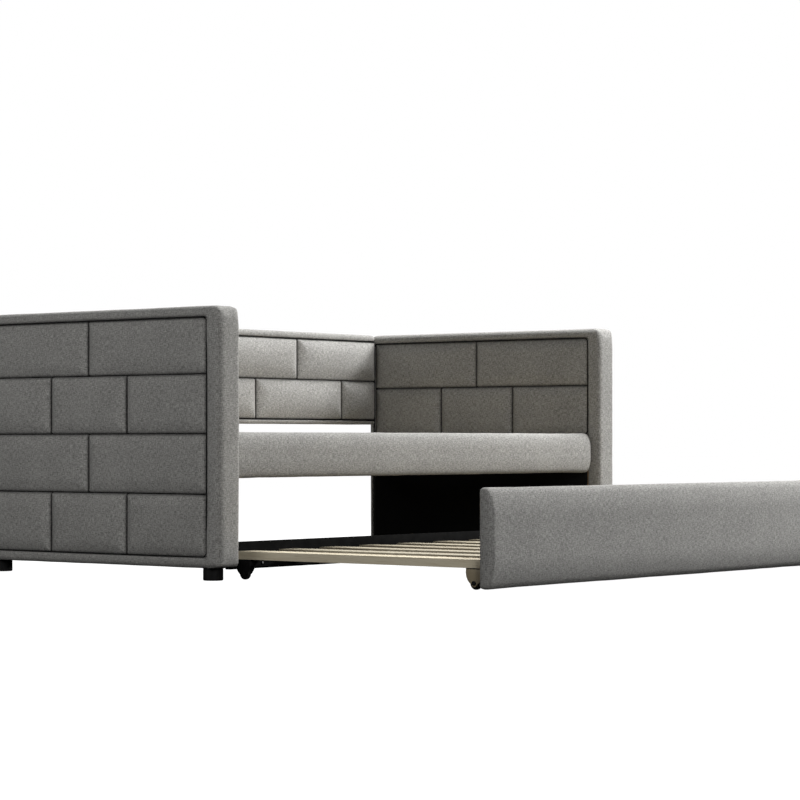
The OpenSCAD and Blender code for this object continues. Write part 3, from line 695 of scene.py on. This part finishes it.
def painted_seam_shadow_sheet(name, node, axis, sign):
    """A near-black sheet under a field of bricks, seen only at the bottom of the seams: painted seam
    shadow.
    """
    low, high = corners_of(node)
    flat = across(axis)
    rise, deepest = shoulder(high[axis] - low[axis])
    level = max(high[axis] - low[axis] - rise - deepest - SHADE_SHEET_UNDER, SHADE_SHEET_LEAST)
    base = low[axis] if sign > 0 else high[axis]
    low, high = low - SHADE_SHEET_SPARE, high + SHADE_SHEET_SPARE
    count_a, count_b = SHADE_SHEET_GRID
    verts = []
    for i in range(count_a + 1):
        for j in range(count_b + 1):
            co = [0.0, 0.0, low[Z] + (high[Z] - low[Z]) * j / count_b]
            co[flat] = low[flat] + (high[flat] - low[flat]) * i / count_a
            co[axis] = base + sign * (level + 0.3 * MM * noise.noise(Vector(co) * 30))
            verts.append(co)
    mesh = bpy.data.meshes.new(name)
    mesh.from_pydata(verts, [], grid_faces(count_a + 1, count_b + 1))
    # Near-black: painted seam shadow.
    obj = new_object(name, mesh, SEAM_SHADOW_BLACK)
    cloth = obj.modifiers.new("thickness", "SOLIDIFY")
    cloth.thickness = SHADE_SHEET_THICK
    cloth.offset = 0.0
    settled(obj)
    return obj


def painted_seam_shadow_tube(name, node, axis, sign):
    """A near-black tube in the seam between a field of bricks and its border: painted seam shadow."""
    low, high = corners_of(node)
    flat = across(axis)
    level = (high[axis] if sign > 0 else low[axis]) - sign * SHADE_TUBE_SINK
    corners = [(low[flat], low[Z]), (high[flat], low[Z]), (high[flat], high[Z]), (low[flat], high[Z])]
    path = []
    for (a0, b0), (a1, b1) in zip(corners, corners[1:] + corners[:1]):
        count = round(math.hypot(a1 - a0, b1 - b0) / SHADE_TUBE_STEP)
        path += [(a0 + (a1 - a0) * k / count, b0 + (b1 - b0) * k / count) for k in range(1, count)]
    middle = ((low[flat] + high[flat]) / 2, (low[Z] + high[Z]) / 2)
    half = ((high[flat] - low[flat]) / 2, (high[Z] - low[Z]) / 2)
    verts, faces = [], []
    for a, b in path:
        on_end = abs(a - middle[0]) / half[0] > abs(b - middle[1]) / half[1]
        for k in range(SHADE_TUBE_SIDES):
            angle = 2 * math.pi * k / SHADE_TUBE_SIDES
            out = SHADE_TUBE_RADIUS * math.cos(angle)
            co = [0.0, 0.0, b if on_end else b + out]
            co[flat] = a + out if on_end else a
            co[axis] = level + sign * SHADE_TUBE_RADIUS * math.sin(angle)
            verts.append(co)
    for i in range(len(path)):
        for k in range(SHADE_TUBE_SIDES):
            a, b = i * SHADE_TUBE_SIDES + k, i * SHADE_TUBE_SIDES + (k + 1) % SHADE_TUBE_SIDES
            c, d = (a + SHADE_TUBE_SIDES) % len(verts), (b + SHADE_TUBE_SIDES) % len(verts)
            faces.append((a, b, d, c))
    # Near-black: painted seam shadow.
    obj = new_object(name, outward_mesh(name, verts, faces), SEAM_SHADOW_BLACK)
    settled(obj)
    return obj


def brick_field(prefix, node, axis, sign, body, swell=0.0):
    """Every brick of a CAD node, each its own padded piece."""
    made = []
    for i, (low, high) in enumerate(solids(node)):
        name = f"{prefix}_{i + 1:02d}"
        mesh, pinned = brick_mesh(name, low, high, axis, sign, swell)
        obj = new_object(name, mesh, FABRIC)
        plan_puff(obj, BRICK_PRESSURE, BRICK_CAP, BRICK_STIFFNESS, pinned)
        made.append(obj)
    return made, node, body, axis, sign


def finish_bricks(field, seed):
    """Painted seam shadow (a near-black sheet and tube) for a field with seams in it, then the last
    shape of its bricks.
    """
    made, node, body, axis, sign = field
    has_seams = len(made) > 1
    if has_seams:
        # Both parts are near-black: painted seam shadow.
        for make, part in ((painted_seam_shadow_sheet, "backing"), (painted_seam_shadow_tube, "welt")):
            extra = make(f"{node}_{part}", node, axis, sign)
            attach(extra, body)
            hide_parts(node)
    for i, obj in enumerate(made):
        uneven(obj.data, *BRICK_UNEVEN, seed + i)
        finer = obj.modifiers.new("soften", "SUBSURF")
        finer.levels = 1
        finer.quality = 1
        finer.use_limit_surface = False
        settled(obj)
        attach(obj, body)
        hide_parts(node)


def soft_copy(name, node, voxel):
    """A CAD node's solids fused into one padded skin, a little smaller, ready to swell."""
    shape = welded(node)
    mesh = bpy.data.meshes.new(name)
    shape.to_mesh(mesh)
    shape.free()
    obj = new_object(name, mesh, FABRIC)
    remesh = obj.modifiers.new("remesh", "REMESH")
    remesh.mode = "VOXEL"
    remesh.voxel_size = voxel
    relax = obj.modifiers.new("relax", "SMOOTH")
    relax.factor = 0.5
    relax.iterations = 4
    inset = obj.modifiers.new("inset", "DISPLACE")
    inset.strength = -COVER_SHRINK
    inset.mid_level = 0.0
    settled(obj)
    plan_puff(obj, COVER_PRESSURE, COVER_CAP, COVER_STIFFNESS)
    return obj


def tuck(mesh, node, axis, sign):
    """Rolls a border down into the seam round a field of bricks, and paints seam shade on it there."""
    low, high = corners_of(node)
    flat = across(axis)
    co = points(mesh)
    off_flat = np.maximum(np.maximum(low[flat] - co[:, flat], co[:, flat] - high[flat]), 0.0)
    off_up = np.maximum(np.maximum(low[Z] - co[:, Z], co[:, Z] - high[Z]), 0.0)
    off = np.hypot(off_flat, off_up)
    face = high[axis] if sign > 0 else low[axis]
    depth = sign * (face - co[:, axis])
    t = np.clip(off / TUCK_WIDTH, 0.0, 1.0)
    roll = TUCK_DEPTH * fall(t, TUCK_CURVE) - TUCK_RAISE
    near = (off < TUCK_WIDTH) & (depth < TUCK_REACH)
    co[near, axis] = face - sign * np.maximum(depth, roll)[near]
    set_points(mesh, co)
    shades = mesh.attributes.get("seam") or mesh.attributes.new("seam", "FLOAT", "POINT")
    values = np.zeros(len(co))
    shades.data.foreach_get("value", values)
    # Painted seam shade on the border near the field of bricks.
    fresh = np.where(near, np.clip(1 - off / SEAM_SHADE, 0.0, 1.0), 0.0)
    shades.data.foreach_set("value", np.maximum(values, fresh))


def round_upright(mesh, side, radius):
    """A fuller radius on the outer front edge of an arm."""
    co = points(mesh)
    centre_x = side * (np.abs(co[:, X]).max() - radius)
    centre_y = co[:, Y].min() + radius
    out_x = side * (co[:, X] - centre_x)
    out_y = centre_y - co[:, Y]
    far = np.hypot(out_x, out_y)
    outside = (out_x > 0) & (out_y > 0) & (far > radius)
    shrink = radius / np.maximum(far, radius)
    co[outside, X] = centre_x + side * (out_x * shrink)[outside]
    co[outside, Y] = centre_y - (out_y * shrink)[outside]
    set_points(mesh, co)


def soften(mesh, reach, depth, span, lower=True):
    """Lets the front face fall away towards its upper edge, and towards its lower one."""
    co = points(mesh)
    front = co[:, Y].min()
    share = np.clip(1 - (co[:, Y] - front) / span, 0.0, 1.0)
    off = co[:, Z].max() - co[:, Z]
    if lower:
        off = np.minimum(off, co[:, Z] - co[:, Z].min())
    t = np.clip(off / reach, 0.0, 1.0)
    co[:, Y] += depth * (1 - t) ** 2 * share
    set_points(mesh, co)


def finish_soft(obj, node, body, seed):
    uneven(obj.data, *COVER_UNEVEN, seed)
    settled(obj)
    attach(obj, body)
    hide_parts(node)


def lining_sheet(side, arm):
    """The black lining stapled over the lower inside of an arm."""
    node = arm + "_lining"
    low, high = corners_of(node)
    face = high[X] if side < 0 else low[X]
    count_y, count_z = LINING_GRID
    verts = []
    for i in range(count_y + 1):
        for j in range(count_z + 1):
            y = low[Y] + (high[Y] - low[Y]) * i / count_y
            z = low[Z] + (high[Z] - low[Z]) * j / count_z
            calm = min(i, count_y - i, j, count_z - j, LINING_CALM) / LINING_CALM
            wave = noise.noise(Vector((y * 5, z * 9, side * 4.0)))
            pull = noise.noise(Vector((y * 26, z * 4, side * 9.0)))
            verts.append((face + side * (0.9 + calm * (0.9 * wave + 0.4 * pull)) * MM, y, z))
    mesh = bpy.data.meshes.new(node + "_cloth")
    mesh.from_pydata(verts, [], grid_faces(count_y + 1, count_z + 1))
    obj = new_object(node + "_cloth", mesh, LINING)
    felt = obj.modifiers.new("thickness", "SOLIDIFY")
    felt.thickness = LINING_THICK
    felt.offset = 0.0
    settled(obj)
    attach(obj, "daybed")
    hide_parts(node)


# ---------------------------------------------------------------- turned pieces


def turned(name, profile, axis, centre, material, steps=64, closed=True):
    """Turns a profile of (radius, place along the axis) points round an axis."""
    verts, faces = [], []
    others = [k for k in (X, Y, Z) if k != axis]
    for s in range(steps):
        angle = 2 * math.pi * s / steps
        for radius, along in profile:
            co = [0.0, 0.0, 0.0]
            co[axis] = centre[axis] + along
            co[others[0]] = centre[others[0]] + radius * math.cos(angle)
            co[others[1]] = centre[others[1]] + radius * math.sin(angle)
            verts.append(co)
    n = len(profile)
    last = n if closed else n - 1
    for s in range(steps):
        t = (s + 1) % steps
        for k in range(last):
            m = (k + 1) % n
            faces.append((s * n + k, s * n + m, t * n + m, t * n + k))
    if not closed:
        faces.append(tuple(s * n for s in range(steps)))
        faces.append(tuple(s * n + n - 1 for s in range(steps)))
    mesh = outward_mesh(name, verts, faces)
    smooth_shaded(mesh)
    mesh.set_sharp_from_angle(angle=SHARP_ANGLE)
    return new_object(name, mesh, material)


def foot_piece(index, low, high):
    """Moulded foot with a shallow groove under its rim and an eased lower edge."""
    r = (high[X] - low[X]) / 2
    top = high[Z] - low[Z]
    profile = [
        (0.001 * MM, 1.5 * MM), (r * 0.55, 1.5 * MM), (r * 0.6, 0.0), (r - 3.5 * MM, 0.0),
        (r - 1.4 * MM, 0.7 * MM), (r - 0.3 * MM, 2.2 * MM), (r, 4 * MM), (r, top - 6 * MM),
        (r - 0.8 * MM, top - 5.4 * MM), (r - 0.8 * MM, top - 4.2 * MM), (r, top - 3.6 * MM),
        (r, top - 0.8 * MM), (r - 0.8 * MM, top), (5 * MM, top), (5 * MM, top - 20 * MM),
        (1 * MM, top - 20 * MM),
    ]
    centre = ((low[X] + high[X]) / 2, (low[Y] + high[Y]) / 2, low[Z])
    return turned(f"foot_{index}", profile, Z, centre, PLASTIC, closed=False)


def wheel_piece(node):
    """Moulded wheel: rounded tread, dished sides and a raised hub."""
    low, high = corners_of(node)
    r = (high[Z] - low[Z]) / 2
    half = (high[X] - low[X]) / 2
    side = [
        (3.15 * MM, half - 0.4 * MM), (3.6 * MM, half), (6.6 * MM, half), (7.3 * MM, half - 0.6 * MM),
        (7.8 * MM, half - 3 * MM), (10.6 * MM, half - 3.1 * MM), (13.0 * MM, half - 2.8 * MM),
        (13.8 * MM, half - 0.5 * MM), (14.4 * MM, half), (16.4 * MM, half - 0.2 * MM),
        (17.9 * MM, half - 1.2 * MM), (r - 0.25 * MM, half - 2.9 * MM), (r, half - 5 * MM),
    ]
    profile = [(a, -b) for a, b in side] + [(a, b) for a, b in reversed(side)]
    centre = (low + high) / 2
    obj = turned(node + "_piece", profile, X, centre, TYRE, steps=72)
    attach(obj, node + "_body")
    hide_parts(node)


# ---------------------------------------------------------------- building

MID_TRUNDLE = -0.5              # between the front and the rear casters


def build_feet():
    for i, (low, high) in enumerate(solids("feet")):
        obj = foot_piece(i + 1, low, high)
        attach(obj, "daybed")
        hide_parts("feet")


def build_wood():
    eased("bed_slats", SLAT_WOOD, 1.8 * MM, "daybed", 3)
    eased("front_ledger", PINE_X, 1.2 * MM, "daybed")
    eased("rear_ledger", PINE_X, 1.2 * MM, "daybed")
    eased("trundle_slats", SLAT_WOOD, 2.2 * MM, "trundle", 3)
    for node in ("trundle_left_side_rail", "trundle_right_side_rail"):
        eased(node, RAIL_WOOD, 2.2 * MM, "trundle", 3)
    eased("trundle_front_ledger", LEDGER_WOOD, 1.5 * MM, "trundle")
    eased("trundle_rear_board", LAMINATE, 1.0 * MM, "trundle")
    eased("trundle_rear_ledger", LAMINATE, 1.0 * MM, "trundle")


def in_front(co):
    return co[Y] < MID_TRUNDLE


def behind(co):
    return co[Y] > MID_TRUNDLE


def build_metal():
    """Brackets and casters. The front casters' forks are beige, the rear ones black."""
    eased("rail_brackets", ZINC, 0.6 * MM, "daybed")
    eased("caster_plates", PLASTIC, 0.4 * MM, "trundle")
    eased("caster_forks", FORK, 0.7 * MM, "trundle", part="front", wanted=in_front)
    eased("caster_forks", PLASTIC, 0.7 * MM, "trundle", part="rear", wanted=behind)
    eased("caster_axles", PLASTIC, 0.8 * MM, "trundle")


def build_bricks():
    fields = []
    for side, sign in (("left", -1), ("right", 1)):
        fields.append(brick_field(f"{side}_outer_brick", f"{side}_arm_outer_bricks", X, sign, "daybed"))
        fields.append(brick_field(f"{side}_inner_brick", f"{side}_arm_inner_bricks", X, -sign, "daybed"))
    fields.append(brick_field("back_brick", "back_bricks", Y, -1, "daybed", BACK_SWELL))
    fields.append(brick_field("back_rear_pad", "back_rear_panel", Y, 1, "daybed"))
    return fields


# Padded covers: the CAD node, the remesh voxel and the body
COVERS = {
    "left_arm_cover": ("left_arm_border", 7 * MM, "daybed"),
    "right_arm_cover": ("right_arm_border", 7 * MM, "daybed"),
    "back_cover": ("back_border", 6 * MM, "daybed"),
    "front_rail_skin": ("front_rail_cover", 6 * MM, "daybed"),
    "rear_rail_skin": ("rear_rail_cover", 6 * MM, "daybed"),
    "trundle_front_skin": ("trundle_front_cover", 6 * MM, "trundle"),
}

# How a cover's front face falls away: how far from the edge, how deep, and how far behind the face
ARM_FALL = (80 * MM, 8 * MM, 40 * MM)
RAIL_FALL = (60 * MM, 15 * MM, 38 * MM)
TRUNDLE_FALL = (85 * MM, 20 * MM, 42 * MM)


def shape_covers(covers):
    """Seams and rounded edges, made after the covers have swollen."""
    for arm, sign in (("left_arm", -1), ("right_arm", 1)):
        mesh = covers[arm + "_cover"].data
        round_upright(mesh, sign, ARM_RADIUS)
        soften(mesh, *ARM_FALL, lower=False)
        tuck(mesh, arm + "_outer_bricks", X, sign)
        tuck(mesh, arm + "_inner_bricks", X, -sign)
    tuck(covers["back_cover"].data, "back_bricks", Y, -1)
    soften(covers["front_rail_skin"].data, *RAIL_FALL)
    soften(covers["trundle_front_skin"].data, *TRUNDLE_FALL)


def build_soft():
    fields = build_bricks()
    covers = {}
    for name, (node, voxel, _) in COVERS.items():
        covers[name] = soft_copy(name, node, voxel)
    run_puffs()
    for i, field in enumerate(fields):
        finish_bricks(field, 20 * i)
    shape_covers(covers)
    for i, (name, (node, _, body)) in enumerate(COVERS.items()):
        finish_soft(covers[name], node, body, 200 + i)
    lining_sheet(-1, "left_arm")
    lining_sheet(1, "right_arm")


def dress_frame():
    """Materials for the CAD nodes that stay."""
    dress = {
        PINE_Z: ("left_arm_frame", "right_arm_frame"),
        PINE_X: ("back_frame", "front_rail_core", "rear_rail_core", "trundle_front_core"),
        PLY: (
            "left_arm_face_boards", "right_arm_face_boards", "left_arm_mounting_board",
            "right_arm_mounting_board", "back_face_board",
        ),
        ZINC: (
            "bed_slat_screws", "ledger_screws", "rail_bolts", "bracket_screws", "back_panel_bolts",
            "foot_studs", "trundle_slat_screws", "trundle_ledger_screws",
        ),
    }
    for material, names in dress.items():
        for name in names:
            NODES[name].material_slots[0].link = "OBJECT"
            NODES[name].material_slots[0].material = material


# ---------------------------------------------------------------- stage

CAMERA_PLACE = (-6.8325, -5.3401, 0.4237)
CAMERA_HEADING = math.radians(-51.559)
CAMERA_LENS = 115.79
CAMERA_SHIFT = 0.0523
FLOOR_HALF = 60.0
WHITE = (1.0, 1.0, 1.0, 1.0)
AMBIENT = 0.004

# Lights: place, what it looks at, diameter and power in watts
AIM = (0.0, 0.2, 0.4)
LIGHTS = {
    "key": ((3.1, -2.6, 2.9), AIM, 1.3, 255.0),
    "front": ((-3.5, -5.5, 2.2), AIM, 2.5, 125.0),
    "side": ((-3.2, 0.8, 1.0), AIM, 1.6, 18.0),
    "top": ((2.3, 0.5, 4.8), (0.0, 0.0, 0.0), 2.2, 330.0),
    "rear": ((1.0, 5.2, 3.4), AIM, 3.0, 110.0),
}


def build_camera():
    data = bpy.data.cameras.new("camera")
    data.lens = CAMERA_LENS
    data.sensor_width = 36.0
    data.shift_y = CAMERA_SHIFT
    data.clip_end = 200.0
    camera = bpy.data.objects.new("camera", data)
    camera.location = CAMERA_PLACE
    camera.rotation_euler = (math.pi / 2, 0.0, CAMERA_HEADING)
    bpy.context.scene.collection.objects.link(camera)
    bpy.context.scene.camera = camera


def area_light(name, place, aim, size, power):
    data = bpy.data.lights.new(name, "AREA")
    data.shape = "DISK"
    data.size = size
    data.energy = power
    light = bpy.data.objects.new(name, data)
    light.location = place
    light.rotation_euler = (Vector(aim) - Vector(place)).to_track_quat("-Z", "Y").to_euler()
    light.visible_camera = False
    bpy.context.scene.collection.objects.link(light)


def build_floor():
    """A white floor for the camera only: it sends no light back up to the bed."""
    g = Graph("floor_paint", rough=0.8, specular=0.0)
    g.colour((0.16, 0.16, 0.16, 1.0))
    g.shader.inputs["Emission Color"].default_value = WHITE
    g.shader.inputs["Emission Strength"].default_value = 1.0
    mesh = bpy.data.meshes.new("floor")
    turns = ((-1, -1), (1, -1), (1, 1), (-1, 1))
    mesh.from_pydata([(a * FLOOR_HALF, b * FLOOR_HALF, 0) for a, b in turns], [], [(0, 1, 2, 3)])
    floor = new_object("floor", mesh, g.material)
    floor.visible_diffuse = False
    floor.visible_glossy = False


def build_world():
    """White where the camera sees it, and almost dark as a light."""
    world = bpy.data.worlds.new("studio")
    bpy.context.scene.world = world
    world.use_nodes = True
    nodes, links = world.node_tree.nodes, world.node_tree.links
    nodes.clear()
    seen = nodes.new("ShaderNodeBackground")
    seen.inputs["Color"].default_value = WHITE
    seen.inputs["Strength"].default_value = 1.0
    lit = nodes.new("ShaderNodeBackground")
    lit.inputs["Color"].default_value = WHITE
    lit.inputs["Strength"].default_value = AMBIENT
    path = nodes.new("ShaderNodeLightPath")
    pick = nodes.new("ShaderNodeMixShader")
    links.new(path.outputs["Is Camera Ray"], pick.inputs[0])
    links.new(lit.outputs[0], pick.inputs[1])
    links.new(seen.outputs[0], pick.inputs[2])
    out = nodes.new("ShaderNodeOutputWorld")
    links.new(pick.outputs[0], out.inputs["Surface"])


def build_stage():
    build_camera()
    build_floor()
    build_world()
    for name, settings in LIGHTS.items():
        area_light(name, *settings)
    view = bpy.context.scene.view_settings
    view.view_transform = "Standard"
    view.look = "None"


dress_frame()
build_wood()
build_metal()
build_feet()
for corner in ("front_left", "front_right", "rear_left", "rear_right"):
    wheel_piece(corner + "_wheel")
build_soft()
build_stage()
